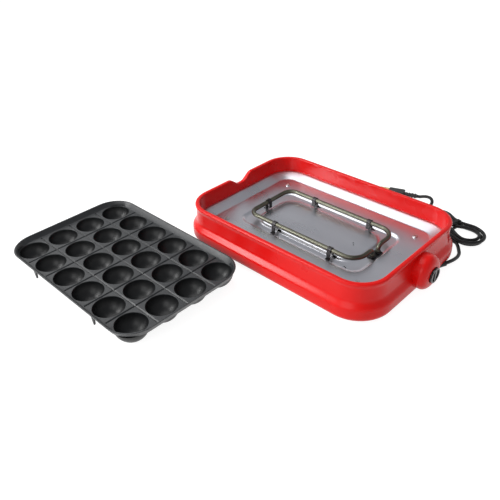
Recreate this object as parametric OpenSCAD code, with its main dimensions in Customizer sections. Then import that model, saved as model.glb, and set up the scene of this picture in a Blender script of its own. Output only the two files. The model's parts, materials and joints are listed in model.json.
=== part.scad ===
// Electric takoyaki maker: a moulded casing with a heating tube over an aluminium tray,
// and a separate cast plate of round cups that stands beside it.
// Millimetres, +Z up. The origin is the centre of the casing, on the table it stands on.

/* [Cups] */
// Cups along the plate
cup_cols = 6; // [5:1:6]
// Cups across the plate
cup_rows = 4; // [3:1:4]
// Distance from one cup to the next
cup_pitch = 46.2; // [45:0.1:48]
// Width of a cup at its mouth
cup_d = 41; // [38:0.5:42]
// Thickness of a cup's wall
cup_wall = 1.8; // [1.4:0.1:2.2]
// Flat spot under each cup
cup_flat_d = 8; // [5:1:10]
// Chamfer round each cup's mouth
cup_lip = 0.8; // [0.4:0.1:1]

/* [Plate] */
// Thickness of the deck between the cups
deck_t = 3; // [2.5:0.1:3.6]
// Flat deck beyond the last cup at the short sides
border_l = 4.5; // [3:0.5:7]
// Flat deck beyond the last cup at the long sides
border_w = 3.2; // [2.5:0.1:6]
// How far the plate's sloping rim leans out
flare = 5; // [3.5:0.5:7]
// Height of the plate's rim above the deck
plate_rim_h = 7; // [5:0.5:9]
// Thickness of the plate's rim
plate_rim_t = 2.4; // [2:0.1:3]
// Corner radius of the plate's rim
plate_r = 38; // [32:1:42]
// Width of the V grooves between the cups
groove_w = 3; // [2:0.2:4]
// Depth of the V grooves
groove_d = 1.2; // [0.8:0.1:1.6]
// Width of a locating tab under the plate
tab_w = 6; // [4:0.5:9]
// Reach of a tab below the deck
tab_h = 13; // [9:1:16]
// Distance between the two tabs of a long side
tab_gap = 140; // [110:5:170]
// Where the plate lies: its centre, left of the casing's centre
plate_left = 153.5; // [120:0.5:170]
// Free table between the plate and the casing
plate_apart = 17; // [12:0.5:40]

/* [Casing] */
// Height of the rim above the table
casing_h = 58; // [56:1:66]
// Wall of the mouldings
wall = 2.2; // [2:0.1:2.6]
// Width of the rim's top
rim_t = 6.5; // [6:0.1:8]
// Room round the plate when it sits in the casing
plate_room = 10.5; // [7:0.5:14]
// Corner radius of the rim
rim_r = 44; // [40:1:50]
// How far the waist below the rim is drawn in
waist_in = 1.3; // [0.5:0.1:1.6]
// How far the lower wall swells out
bulge_out = 6.3; // [4:0.1:8]
// Height of the shoulder above the swelling
shoulder_z = 27; // [24:0.5:34]
// Height over which the shoulder runs out
shoulder_h = 11; // [9:0.5:16]
// Rounding under the swelling
bottom_r = 9; // [8:0.5:11]
// Length of the finger notch in the rim
notch_w = 50; // [40:1:60]
// Depth of the finger notch
notch_d = 11.6; // [8:0.2:13]
// Offset of the finger notch from the middle
notch_y = 1.5; // [-4:0.5:4]

/* [Base] */
// Height of the rubber feet
foot_h = 3; // [2.5:0.1:4]
// Width of a rubber foot
foot_d = 18; // [14:1:22]
// Thickness of the base cover
base_t = 2.5; // [2:0.1:3]
// Length of one air slot
vent_l = 26; // [16:1:32]
// Width of one air slot
vent_w = 3; // [2:0.2:4]

/* [Tray] */
// Thickness of the aluminium sheet
tray_t = 1; // [0.8:0.1:1.2]
// Depth of the well from the rim to the tray's edge
well_d = 24; // [22:0.5:25]
// Width of the tray's sloping border
slope_w = 16; // [12:1:18]
// Drop of the sloping border
slope_h = 7; // [5:0.5:8]
// Depth of the pressed channel under the tube
recess_d = 3; // [2:0.1:3.5]
// Width of the channel's sloping walls
recess_slope = 4; // [3:0.5:4.5]
// Channel beyond the heating tube at the long sides
recess_margin_w = 11.8; // [11.5:0.1:13]
// Channel beyond the heating tube at the short sides
recess_margin_l = 14.5; // [14:0.5:16]
// Corner radius of the channel
recess_r = 18; // [14:1:22]
// Length of the raised middle inside the channel
island_l = 172; // [165:1:174]
// Width of the raised middle inside the channel
island_w = 81; // [76:0.5:82]
// Corner radius of the raised middle
island_r = 24; // [20:1:28]

/* [Heater] */
// Thickness of the heating tube
tube_d = 6.5; // [6:0.1:7]
// Height of the tube's middle above the tray's ledge
tube_lift = 10; // [8.5:0.5:11]
// Bend radius of the tube's left corners
tube_bend = 15; // [12:1:18]
// How much further the tube reaches to the right, where its ends are
tube_more = 5.5; // [3:0.5:6]
// Bend radius of the tube's right corners
tube_end_bend = 21; // [17:1:23]
// Radius where the tube's ends turn down
tail_bend = 8; // [7:0.5:9]
// Distance between the tube's two ends
tail_gap = 13; // [12:0.5:16]
// Offset of the two ends from the middle
tail_y = -1.5; // [-4:0.5:4]
// Width of a tube clip
clip_w = 6; // [4:0.5:8]
// Thickness of a tube clip
clip_t = 1; // [0.8:0.1:1.2]
// Clips left of the middle on the long runs
clip_left = 42; // [30:1:60]
// Clips right of the middle on the long runs
clip_right = 57; // [30:1:62]

/* [Knob] */
// Radius of the knob's housing
boss_r = 24; // [22:0.5:24.5]
// Reach of the housing beyond the rim
boss_out = 19; // [17:0.5:24]
// Offset of the housing from the middle
boss_y = 5; // [-5:0.5:8]
// Height of the knob's axis above the table
boss_z = 28.5; // [28:0.1:30]
// Width of the knob
knob_d = 21; // [18:0.5:22]
// Length of the knob
knob_t = 5; // [4:0.5:7]
// Width of the knob's spindle
spindle_d = 6; // [5:0.2:6.4]

/* [Screws] */
// Width of the tray screws' heads
tray_head_d = 7; // [6:0.5:8]
// Width of the tray screws' shanks
tray_shank_d = 3.2; // [2.8:0.1:3.6]
// Width of the base screws' heads
base_head_d = 6; // [5:0.5:7]
// Width of the base screws' shanks
base_shank_d = 3; // [2.6:0.1:3.2]

/* [Cord] */
// Thickness of the mains cord
cord_d = 5; // [4.6:0.1:5]
// Thickness of the wires inside
wire_d = 2; // [1.6:0.1:2.4]

/* [Hidden] */

fine = 96;      // facets of large rounds
medium = 48;    // facets of small rounds
gap = 0.3;      // free gap between pieces that don't touch
eps = 0.01;     // overshoot of cuts

// Plate
cup_r = cup_d / 2;
cup_out_r = cup_r + cup_wall;
cup_flat_z = sqrt(cup_out_r * cup_out_r - cup_flat_d * cup_flat_d / 4);
cups_l = (cup_cols - 1) * cup_pitch;
cups_w = (cup_rows - 1) * cup_pitch;
deck_l = cups_l + cup_d + 2 * border_l;
deck_w = cups_w + cup_d + 2 * border_w;
plate_l = deck_l + 2 * flare;
plate_w = deck_w + 2 * flare;
plate_z = cup_flat_z;            // top of the deck, with the cups on the table
tab_t = 2;
tab_y = deck_w / 2 - 0.2;
cup_xs = [for (i = [0 : cup_cols - 1]) (i - (cup_cols - 1) / 2) * cup_pitch];
cup_ys = [for (j = [0 : cup_rows - 1]) (j - (cup_rows - 1) / 2) * cup_pitch];
groove_xs = [for (i = [1 : cup_cols - 1]) (i - cup_cols / 2) * cup_pitch];
groove_ys = [for (j = [1 : cup_rows - 1]) (j - cup_rows / 2) * cup_pitch];

// Casing
opening_l = plate_l + 2 * plate_room;
opening_w = plate_w + 2 * plate_room;
rim_l = opening_l + 2 * rim_t;
rim_w = opening_w + 2 * rim_t;
bead_r = wall;                   // outer edge of the rim
inner_edge_r = 1.5;              // inner edge of the rim
waist_z = casing_h - 8;
bulge_z = foot_h + bottom_r;
bottom_in = bulge_out - bottom_r;
shoulder_share = 0.7;
tray_edge_z = casing_h - well_d;
lip_w = 2.5;                     // ledge that carries the tray's flange
lip_t = 2;

plate_x = -plate_left;
plate_y = -(rim_w / 2 + bulge_out + plate_apart + plate_w / 2);

// Tray
flange_w = 2.5;
ledge_z = tray_edge_z - slope_h;
ledge_in = rim_t + gap + flange_w + slope_w;
ledge_l = rim_l - 2 * ledge_in;
ledge_w = rim_w - 2 * ledge_in;
ledge_r = rim_r - ledge_in;
recess_z = ledge_z - recess_d;
floor_z = foot_h + base_t;
room_h = recess_z - tray_t - floor_z;   // between the bottom plate and the tray

// Heating tube: it runs under the gaps between the outer and the inner cups
tube_r = tube_d / 2;
tube_z = ledge_z + tube_lift;
tube_x = (cup_cols / 2 - 1) * cup_pitch + 0.6;
tube_y = (cup_rows / 2 - 1) * cup_pitch;
tail_x = tube_x + tube_more;
recess_l = 2 * (tube_x + recess_margin_l);
recess_w = 2 * (tube_y + recess_margin_w);
tail_z = floor_z + 0.8 * room_h;
tail_ys = [tail_y - tail_gap / 2, tail_y + tail_gap / 2];
insulator_h = 0.17 * room_h;
pin_d = 2.4;
pin_end_z = floor_z + 0.35 * room_h;
crimp_r = 2.4;
crimp_h = 0.22 * room_h;
crimp_floor = crimp_h / 4;
crimp_z = pin_end_z - crimp_floor;
bracket_l = tail_gap + 11;
bracket_w = 9.6;
bracket_t = 1;
collar_h = 0.2 * room_h;
collar_t = 1.2;

// Clips: [x, y, angle] of the tube under each one, and the side on which its slot is
clip_places = [[-clip_left, -tube_y, 0, 1], [clip_right, -tube_y, 0, 1],
    [-clip_left, tube_y, 180, -1], [clip_right, tube_y, 180, -1], [-tube_x, -4, 270, -1]];
clip_fit = 0.1;
clip_foot = 3.2;
clip_short = 3.4;                // how much shorter the leg without a foot is
slot_l = 6;
slot_w = 3;
slot_side = 4.5;
slot_off = 4.5;
pin_holes = [[62, 0.2], [65.3, -3.8], [83, -49.5], [86, -51]];
pin_hole_r = 1.1;

// Base
post_x = recess_l / 2 + 10;
post_y = recess_w / 2 + 12.2;
post_r = 5;
post_collar_r = 7.5;
post_collar_h = 0.11 * room_h;
lug_r = 4.5;
lug_h = 12;
lug_web = 3;
lug_x = rim_l / 2 - rim_r - 6;
lug_y = rim_w / 2 - 8;
screw_grip = 10;
screw_fit = 0.05;
foot_x = rim_l / 2 - 38;
foot_y = rim_w / 2 - 38;
vent_step = 2.6 * vent_w;
vent_count = 5;

// Heat shield
shield_t = 0.6;
shield_z = floor_z + post_collar_h;
shield_l = recess_l + 42;
shield_w = recess_w + 44;
shield_r = 12;

// Knob housing along +X
boss_x = rim_l / 2 + boss_out;             // end face
boss_round = 10;
boss_root_x = rim_l / 2 - waist_in - wall + 0.6;
knob_r = knob_d / 2;
knob_gap = 0.6;
dish_r = knob_r - 2.2;
dish_d = 1.2;
grip_w = 2.6;
knob_seat_x = boss_x - 2.5;
knob_x = knob_seat_x + 0.5;
knob_face_x = knob_x + knob_t;
spindle_r = spindle_d / 2;
spindle_gap = 0.05;
thermo_r = 11;
thermo_t = 6;
thermo_plate_t = 1.5;
thermo_x = boss_root_x + 1.5;              // back of the thermostat
bush_r = 4.5;
bush_l = 3;
spindle_back_x = thermo_x + 2.5;
spindle_end_x = knob_face_x - dish_d - 1.2;

// Mains cord
cord_r = cord_d / 2;
exit_deg = 67;                             // direction in which the cord leaves
exit_at = [169.2, 65, 8.5];
exit_way = [cos(exit_deg), sin(exit_deg), 0];
gland_l = 32;
gland_r = 4;
wire_r = wire_d / 2;
wire_bend = 4;
drop_bend = 3.2;
clamp_l = 10;
clamp_w = 9;
clamp_h = 9;
clamp_at = exit_at - exit_way * (gland_l + clamp_l / 2);
clamp_top_z = floor_z + clamp_h;
clamp_screw_r = 1.2;

// Wires inside
wire_z = crimp_z + crimp_h / 2;
fuse_x = tail_x + crimp_r + 8;
fuse_l = 16;
fuse_r = 0.16 * room_h;
live_x = clamp_at[0] - 1.5;
neutral_x = clamp_at[0] + 2;
wire_start_y = clamp_at[1] + 1.2;
live_end = [thermo_x, boss_y - 5, boss_z - 5];
switched_end_z = boss_z - 1;
switched_x = rim_l / 2 - 16;
neutral_z = clamp_top_z + 6;

// Route of the free cord, from the gland to the hank
cord_route = [[169.2, 65, 8.5], [171.2, 70, 8.4], [172.7, 78, 7.6], [173.3, 87, 6.4],
    [172.6, 96, 5.1], [170, 105.3, 3.9], [166.3, 112.2, 3.1], [162.6, 118.3, 2.7],
    [159.8, 122.4, 2.6], [156.7, 125.8, 3], [154.2, 127.8, 3.5], [149.3, 129.2, 3.6]];

// Route of the cord's tail, from the hank to the plug
tail_route = [[75.9, 180, 9.1], [77.7, 186, 9.7], [77.6, 192.3, 11], [75.6, 198.2, 12.2],
    [71.8, 203.2, 12.9], [66.7, 206.8, 12.7], [60.7, 208.6, 11.6], [54.4, 208.5, 9.8],
    [49.8, 207.5, 8.2], [45.4, 206.4, 7.7]];

// Hank: a flat spiral in and out again, in two layers, drawn in at the waist
hank_at = [129.4, 160.8];
hank_tilt = -14;               // turn of the whole hank on the table
hank_half = 30;                // half the straight run
hank_free = 22;                // from the tie to where the cord meets the first run
hank_in_r = 15.2;              // innermost end turn
hank_step = 7.2;               // from one loop to the next
hank_draw_out = 4.6;           // how far the tie draws the outermost run in
hank_draw_in = 11;             // how far it draws the innermost run in
hank_low_z = 3.6;
hank_layer = 5.5;
hank_run = 0.224;              // share of a loop that is one straight run
hank_first = hank_run * (hank_half - hank_free) / (2 * hank_half);
hank_mid = 1.5 + hank_run / 2 - hank_first;
hank_climb = 0.1;
hank_end_turn = 102;           // degrees of the last end turn
hank_loops = 3 + hank_run + (0.5 - hank_run) * hank_end_turn / 180 - hank_first;
hank_rings = 24;               // rings per loop
hank_sides = 6;
tie_w = 5;
tie_t = 0.8;
tie_fit = 0.3;

// Plug
plug_deg = 194;
plug_dip = 3;                  // the plug leans down until it rests on the table
plug_at = tail_route[9];
relief_l = 22;
relief_r = 3.9;
plug_l = 26;
plug_w = 20;
plug_h = 10;
blade_l = 17;
blade_w = 6.3;
blade_t = 1.5;
blade_gap = 12.7;

// ---------- shared shapes ----------

// Rounded rectangle, centred
module round_rect(l, w, r) {
    translate([-l / 2 + r, -w / 2])
        square([l - 2 * r, w]);
    translate([-l / 2, -w / 2 + r])
        square([l, w - 2 * r]);
    for (sx = [-1, 1], sy = [-1, 1])
        translate([sx * (l / 2 - r), sy * (w / 2 - r)])
            circle(r = r, $fn = fine);
}

// Carries a section round a rounded rectangle. In the section, x is the distance outwards
// from the rectangle's edge and y is the height.
module round_sweep(l, w, r) {
    for (side = [0, 180])
        rotate([0, 0, side])
            translate([-(l / 2 - r), w / 2, 0])
                rotate([90, 0, 90])
                    linear_extrude(l - 2 * r)
                        children();
    for (side = [90, 270])
        rotate([0, 0, side])
            translate([-(w / 2 - r), l / 2, 0])
                rotate([90, 0, 90])
                    linear_extrude(w - 2 * r)
                        children();
    for (corner = [[1, 1, 0], [-1, 1, 90], [-1, -1, 180], [1, -1, 270]])
        translate([corner[0] * (l / 2 - r), corner[1] * (w / 2 - r), 0])
            rotate([0, 0, corner[2]])
                rotate_extrude(angle = 90, $fn = fine)
                    translate([r, 0])
                        children();
}

// A round bar from one point to another
module bar(a, b, r, facets = medium) {
    run = b - a;
    reach = norm(run);
    translate(a)
        rotate([0, acos(run[2] / reach), atan2(run[1], run[0])])
            cylinder(h = reach, r = r, $fn = facets);
}

// A quarter of a ring, centred on c, that joins the directions u and v from c
module quarter_bend(c, u, v, bend_r, r, facets = medium) {
    n = cross(u, v);
    multmatrix([[u[0], v[0], n[0], c[0]], [u[1], v[1], n[1], c[1]], [u[2], v[2], n[2], c[2]],
            [0, 0, 0, 1]])
        rotate_extrude(angle = 90, $fn = facets)
            translate([bend_r, 0])
                circle(r = r, $fn = facets);
}

// Unit vector
function unit(v) = v / norm(v);

// A round bar through points whose corners are all square. bends holds each corner's radius,
// with a zero for both ends.
module square_path(points, bends, r) {
    last = len(points) - 1;
    for (i = [0 : last - 1]) {
        way = unit(points[i + 1] - points[i]);
        bar(points[i] + way * bends[i], points[i + 1] - way * bends[i + 1], r);
    }
    for (i = [1 : last - 1]) {
        into = unit(points[i] - points[i - 1]);
        out = unit(points[i + 1] - points[i]);
        quarter_bend(points[i] - into * bends[i] + out * bends[i], -out, into, bends[i], r);
    }
}

// Direction of a path at each of its points
function tangent(p, i) = unit(
    i == 0 ? p[1] - p[0] :
    i == len(p) - 1 ? p[i] - p[i - 1] :
    unit(p[i + 1] - p[i]) + unit(p[i] - p[i - 1]));

// One ring of a tube, square to its path
function ring(p, t, r, sides) =
    let (side = unit(cross(t, [0, 0, 1])), up = cross(side, t))
    [for (k = [0 : sides - 1])
        p + r * (cos(360 * (k + 0.5) / sides) * side + sin(360 * (k + 0.5) / sides) * up)];

// A tube swept along a path that never stands upright
module swept_tube(path, r, sides) {
    rings = len(path);
    points = [for (i = [0 : rings - 1]) each ring(path[i], tangent(path, i), r, sides)];
    walls = [for (i = [0 : rings - 2], k = [0 : sides - 1])
        let (a = i * sides + k, b = i * sides + (k + 1) % sides)
            each [[a, a + sides, b + sides], [a, b + sides, b]]];
    start_cap = [for (k = [1 : sides - 2]) [0, k, k + 1]];
    end_base = (rings - 1) * sides;
    end_cap = [for (k = [1 : sides - 2]) [end_base, end_base + k + 1, end_base + k]];
    polyhedron(points = points, faces = concat(walls, start_cap, end_cap));
}

// ---------- casing ----------

// A soft step from 0 to 1
function ease(s) = (1 - cos(180 * min(1, max(0, s)))) / 2;

// Share of the swell at a height: none at the waist, all of it at the bulge, most at the shoulder
function swell(z) =
    (1 - shoulder_share) * ease((waist_z - z) / (waist_z - bulge_z))
    + shoulder_share * ease((shoulder_z - z) / shoulder_h + 0.5);

function skin_u(z) = -waist_in + (bulge_out + waist_in) * swell(z);

// Outline of the outer wall from the rim to the bottom, set in by t
function neck_line(t) =
    [for (s = [0 : 0.25 : 1]) [-waist_in * (1 - cos(180 * s)) / 2 - t,
        casing_h - bead_r - s * (casing_h - bead_r - waist_z)]];

function skirt_line(t) =
    [for (s = [0.1 : 0.06 : 0.97])
        let (z = waist_z - s * (waist_z - bulge_z)) [skin_u(z) - t, z]];

function bottom_line(t) =
    [for (a = [0 : 15 : 90]) [bulge_out - bottom_r + (bottom_r - t) * cos(a),
        bulge_z - (bottom_r - t) * sin(a)]];

function turned(points) = [for (i = [len(points) - 1 : -1 : 0]) points[i]];

module casing_section() {
    rim_arc = [for (a = [90 : -30 : 0])
        [-bead_r + bead_r * cos(a), casing_h - bead_r + bead_r * sin(a)]];
    edge_arc = [for (a = [180 : -45 : 90])
        [-rim_t + inner_edge_r + inner_edge_r * cos(a),
            casing_h - inner_edge_r + inner_edge_r * sin(a)]];
    outside = concat(rim_arc, neck_line(0), skirt_line(0), bottom_line(0));
    inside = turned(concat(neck_line(wall), skirt_line(wall), bottom_line(wall)));
    flange_seat = tray_edge_z - tray_t;
    lining = [[-rim_t + wall, casing_h - bead_r], [-rim_t + wall, flange_seat - lip_t],
        [-rim_t - lip_w, flange_seat - lip_t], [-rim_t - lip_w, flange_seat], [-rim_t, flange_seat]];
    polygon(concat(edge_arc, outside, inside, lining));
}

// The finger notch, seen along X: a soft dip with S-shaped sides
function notch_line(drop) =
    [for (s = [-1 : 0.1 : 1.001])
        [notch_y + s * notch_w / 2,
            casing_h - drop - notch_d * (1 + cos(180 * min(1, max(0, abs(s) - 0.12) / 0.88))) / 2]];

module notch_cut() {
    above = casing_h + 10;
    translate([-rim_l / 2 - 5, 0, 0])
        rotate([90, 0, 90])
            linear_extrude(rim_t + 10)
                polygon(concat(notch_line(0), [[notch_y + notch_w / 2, above],
                    [notch_y - notch_w / 2, above]]));
}

module notch_floor() {
    translate([-rim_l / 2 + waist_in + wall / 2, 0, 0])
        rotate([90, 0, 90])
            linear_extrude(rim_t - waist_in - wall)
                polygon(concat(notch_line(-eps), turned(notch_line(wall))));
}

// The knob's housing: a round stub whose end curves in to a flat face
module boss_solid(r, end_x, rounding) {
    flat_r = r - rounding - 2;
    reach = end_x - boss_root_x;
    arc = [for (a = [0 : 15 : 90])
        [flat_r + (r - flat_r) * cos(a), reach - rounding + rounding * sin(a)]];
    translate([boss_root_x, boss_y, boss_z])
        rotate([0, 90, 0])
            rotate_extrude($fn = fine)
                polygon(concat([[0, 0], [r, 0]], arc, [[0, reach]]));
}

// Posts inside the casing that take the base cover's screws, each with a web to the wall
module casing_lugs() {
    web_z = foot_h + 6;
    for (sx = [-1, 1], sy = [-1, 1])
        scale([1, sy, 1])
            translate([sx * lug_x, lug_y, 0]) {
                translate([0, 0, floor_z])
                    cylinder(h = lug_h, r = lug_r, $fn = medium);
                translate([-lug_web / 2, 0, web_z])
                    cube([lug_web, rim_w / 2 + bulge_out - wall / 2 - lug_y, floor_z + lug_h - web_z]);
            }
}

module casing() color("red") {
    difference() {
        union() {
            round_sweep(rim_l, rim_w, rim_r) casing_section();
            notch_floor();
            boss_solid(boss_r, boss_x, boss_round);
            casing_lugs();
        }
        notch_cut();
        boss_solid(boss_r - wall, knob_seat_x - wall, boss_round - wall);
        translate([knob_seat_x, boss_y, boss_z])
            rotate([0, 90, 0])
                cylinder(h = 10, r = knob_r + knob_gap, $fn = fine);
        translate([boss_root_x, boss_y, boss_z])
            rotate([0, 90, 0])
                cylinder(h = boss_out + 10, r = spindle_r + knob_gap, $fn = medium);
        gland_shape(gland_r, gland_l + 8, 8);
        for (sx = [-1, 1], sy = [-1, 1])
            translate([sx * lug_x, sy * lug_y, floor_z - 1])
                cylinder(h = screw_grip + 2, r = base_shank_d / 2 + screw_fit, $fn = medium);
    }
}

// ---------- base ----------

module base_outline(inset) {
    edge = -bottom_in + gap + inset;
    round_rect(rim_l - 2 * edge, rim_w - 2 * edge, rim_r - edge);
}

module base_cover() color("dimgray") {
    difference() {
        union() {
            translate([0, 0, foot_h])
                linear_extrude(base_t)
                    base_outline(0);
            for (sx = [-1, 1], sy = [-1, 1])
                translate([sx * post_x, sy * post_y, floor_z - eps]) {
                    cylinder(h = ledge_z - tray_t - floor_z + eps, r = post_r, $fn = medium);
                    cylinder(h = post_collar_h + eps, r = post_collar_r, $fn = medium);
                }
        }
        for (sx = [-1, 1], sy = [-1, 1]) {
            translate([sx * post_x, sy * post_y, ledge_z - tray_t - screw_grip - 1])
                cylinder(h = screw_grip + 2, r = tray_shank_d / 2 + screw_fit, $fn = medium);
            translate([sx * lug_x, sy * lug_y, foot_h - 1])
                cylinder(h = base_t + 2, r = base_shank_d / 2 + gap, $fn = medium);
        }
        gland_shape(gland_r + gap, gland_l);
        for (row = [-1, 1], i = [0 : vent_count - 1])
            translate([-vent_l / 2, row * 40 + (i - (vent_count - 1) / 2) * vent_step - vent_w / 2,
                    foot_h - 1])
                cube([vent_l, vent_w, base_t + 2]);
    }
}

module feet() color("black") {
    for (sx = [-1, 1], sy = [-1, 1])
        translate([sx * foot_x, sy * foot_y, 0])
            cylinder(h = foot_h, r = foot_d / 2, $fn = medium);
}

// ---------- screws ----------

// A pan-head screw whose head stands on z = 0
module pan_screw(head_d, head_h, shank_d) {
    difference() {
        cylinder(h = head_h, r = head_d / 2, $fn = medium);
        for (turn = [0, 90])
            rotate([0, 0, turn])
                translate([-head_d * 0.3, -0.4, head_h - 0.7])
                    cube([head_d * 0.6, 0.8, 1]);
    }
    translate([0, 0, -screw_grip])
        cylinder(h = screw_grip + eps, r = shank_d / 2, $fn = medium);
}

module base_screws() color("silver") {
    for (sx = [-1, 1], sy = [-1, 1])
        translate([sx * lug_x, sy * lug_y, foot_h])
            rotate([180, 0, 0])
                pan_screw(base_head_d, 1.8, base_shank_d);
}

module tray_screws() color("silver") {
    for (sx = [-1, 1], sy = [-1, 1])
        translate([sx * post_x, sy * post_y, ledge_z])
            pan_screw(tray_head_d, 1.8, tray_shank_d);
}

// ---------- tray ----------

// Flange, sloping border and the edge of the ledge
module tray_border_section() {
    flange_out = -rim_t - gap;
    flange_in = flange_out - flange_w;
    polygon([[flange_out, tray_edge_z], [flange_in, tray_edge_z], [-ledge_in, ledge_z],
        [-ledge_in - 2, ledge_z], [-ledge_in - 2, ledge_z - tray_t],
        [-ledge_in, ledge_z - tray_t], [flange_in, tray_edge_z - tray_t],
        [flange_out, tray_edge_z - tray_t]]);
}

// A sloping wall of the channel, from the ledge's level down to its floor. It falls outwards
// for side 1 and inwards for side -1.
module tray_step_section(side) {
    lap = 2;
    polygon([[-side * lap, ledge_z], [0, ledge_z], [side * recess_slope, recess_z],
        [side * (recess_slope + lap), recess_z], [side * (recess_slope + lap), recess_z - tray_t],
        [side * recess_slope, recess_z - tray_t], [0, ledge_z - tray_t],
        [-side * lap, ledge_z - tray_t]]);
}

module tray() color("lightgray") {
    difference() {
        union() {
            round_sweep(rim_l, rim_w, rim_r) tray_border_section();
            translate([0, 0, ledge_z - tray_t])
                linear_extrude(tray_t)
                    difference() {
                        round_rect(ledge_l, ledge_w, ledge_r);
                        round_rect(recess_l, recess_w, recess_r);
                    }
            round_sweep(recess_l, recess_w, recess_r) tray_step_section(-1);
            translate([0, 0, recess_z - tray_t])
                linear_extrude(tray_t)
                    difference() {
                        round_rect(recess_l - 2 * recess_slope, recess_w - 2 * recess_slope,
                            recess_r - recess_slope);
                        round_rect(island_l + 2 * recess_slope, island_w + 2 * recess_slope,
                            island_r + recess_slope);
                    }
            round_sweep(island_l, island_w, island_r) tray_step_section(1);
            translate([0, 0, ledge_z - tray_t])
                linear_extrude(tray_t)
                    round_rect(island_l, island_w, island_r);
        }
        for (sx = [-1, 1], sy = [-1, 1])
            translate([sx * post_x, sy * post_y, ledge_z - tray_t - 1])
                cylinder(h = tray_t + 2, r = tray_shank_d / 2 + gap, $fn = medium);
        for (y = tail_ys)
            translate([tail_x, y, recess_z - tray_t - 1])
                cylinder(h = tray_t + 2, r = tube_r + gap, $fn = medium);
        for (p = pin_holes)
            translate([p[0], p[1], recess_z - tray_t - 1])
                cylinder(h = recess_d + tray_t + 2, r = pin_hole_r, $fn = medium);
        for (p = clip_places)
            translate([p[0], p[1], recess_z - tray_t - 1])
                rotate([0, 0, p[2]])
                    translate([p[3] * slot_side - slot_l / 2, p[3] * slot_off - slot_w / 2, 0])
                        cube([slot_l, slot_w, recess_d + tray_t + 2]);
    }
}

// ---------- heater ----------

module heater_tube() color("darkolivegreen") {
    low = tail_ys[0];
    high = tail_ys[1];
    square_path([[tail_x, low, tail_z], [tail_x, low, tube_z], [tail_x, -tube_y, tube_z],
        [-tube_x, -tube_y, tube_z], [-tube_x, tube_y, tube_z], [tail_x, tube_y, tube_z],
        [tail_x, high, tube_z], [tail_x, high, tail_z]],
        [0, tail_bend, tube_end_bend, tube_bend, tube_bend, tube_end_bend, tail_bend, 0], tube_r);
}

// A strap bent over the tube, with one foot on the tray
module tube_clip() {
    inner = tube_r + clip_fit;
    outer = inner + clip_t;
    drop = tube_z - recess_z;
    rotate([90, 0, 90])
        translate([0, 0, -clip_w / 2])
            linear_extrude(clip_w)
                difference() {
                    union() {
                        circle(r = outer, $fn = medium);
                        translate([-outer, -drop])
                            square([outer, drop]);
                        translate([0, clip_short - drop])
                            square([outer, drop - clip_short]);
                        translate([-outer - clip_foot, -drop])
                            square([clip_foot + 1, clip_t]);
                    }
                    circle(r = inner, $fn = medium);
                    translate([-inner, -drop - 1])
                        square([2 * inner, drop + 1]);
                }
}

module heater_clips() color("dimgray") {
    for (p = clip_places)
        translate([p[0], p[1], tube_z])
            rotate([0, 0, p[2]])
                tube_clip();
}

module terminal_bracket() color("dimgray") {
    translate([tail_x, tail_y, recess_z])
        difference() {
            union() {
                translate([-bracket_w / 2, -bracket_l / 2, 0])
                    cube([bracket_w, bracket_l, bracket_t]);
                for (y = tail_ys)
                    translate([0, y - tail_y, 0])
                        cylinder(h = collar_h, r = tube_r + clip_fit + collar_t, $fn = medium);
            }
            for (y = tail_ys)
                translate([0, y - tail_y, -1])
                    cylinder(h = collar_h + 2, r = tube_r + clip_fit, $fn = medium);
        }
}

module terminal_insulators() color("white") {
    for (y = tail_ys)
        translate([tail_x, y, tail_z - insulator_h])
            difference() {
                cylinder(h = insulator_h, r = tube_r, $fn = medium);
                translate([0, 0, -1])
                    cylinder(h = insulator_h + 2, r = pin_d / 2 + screw_fit, $fn = medium);
            }
}

module terminal_pins() color("silver") {
    for (y = tail_ys)
        translate([tail_x, y, pin_end_z])
            cylinder(h = tail_z - pin_end_z, r = pin_d / 2, $fn = medium);
}

module crimp_terminals() color("gold") {
    for (y = tail_ys)
        translate([tail_x, y, crimp_z])
            difference() {
                cylinder(h = crimp_h, r = crimp_r, $fn = medium);
                translate([0, 0, crimp_floor])
                    cylinder(h = crimp_h, r = pin_d / 2 + screw_fit, $fn = medium);
            }
}

module heat_shield() color("gainsboro") {
    translate([0, 0, shield_z])
        difference() {
            linear_extrude(shield_t)
                round_rect(shield_l, shield_w, shield_r);
            for (sx = [-1, 1], sy = [-1, 1])
                translate([sx * post_x, sy * post_y, -1])
                    cylinder(h = shield_t + 2, r = post_r + gap, $fn = medium);
        }
}

// ---------- thermostat and wiring ----------

// Turns a shape drawn along +Z to lie along +X on the knob's axis
module on_knob_axis(x) {
    translate([x, boss_y, boss_z])
        rotate([0, 90, 0])
            children();
}

module thermostat_case() color("ivory") {
    on_knob_axis(thermo_x)
        difference() {
            cylinder(h = thermo_t, r = thermo_r, $fn = fine);
            translate([0, 0, 2])
                cylinder(h = thermo_t, r = bush_r, $fn = medium);
        }
}

module thermostat_bush() color("gold") {
    on_knob_axis(thermo_x + 2)
        difference() {
            cylinder(h = thermo_t - 2 + thermo_plate_t + bush_l, r = bush_r, $fn = medium);
            translate([0, 0, -1])
                cylinder(h = thermo_t + thermo_plate_t + bush_l, r = spindle_r + spindle_gap,
                    $fn = medium);
        }
}

module thermostat_bracket() color("silver") {
    on_knob_axis(thermo_x + thermo_t)
        difference() {
            cylinder(h = thermo_plate_t, r = boss_r - wall, $fn = fine);
            translate([0, 0, -1])
                cylinder(h = thermo_plate_t + 2, r = bush_r, $fn = medium);
        }
}

module thermal_fuse() color("white") {
    y = tail_ys[0];
    bar([fuse_x, y, wire_z], [fuse_x + fuse_l, y, wire_z], fuse_r);
    bar([tail_x + crimp_r, y, wire_z], [fuse_x, y, wire_z], wire_r);
}

module wire_live() color("black") {
    square_path([[live_x, wire_start_y, clamp_top_z], [live_x, wire_start_y, live_end[2]],
        [live_x, live_end[1], live_end[2]], live_end], [0, wire_bend, wire_bend, 0], wire_r);
}

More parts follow.
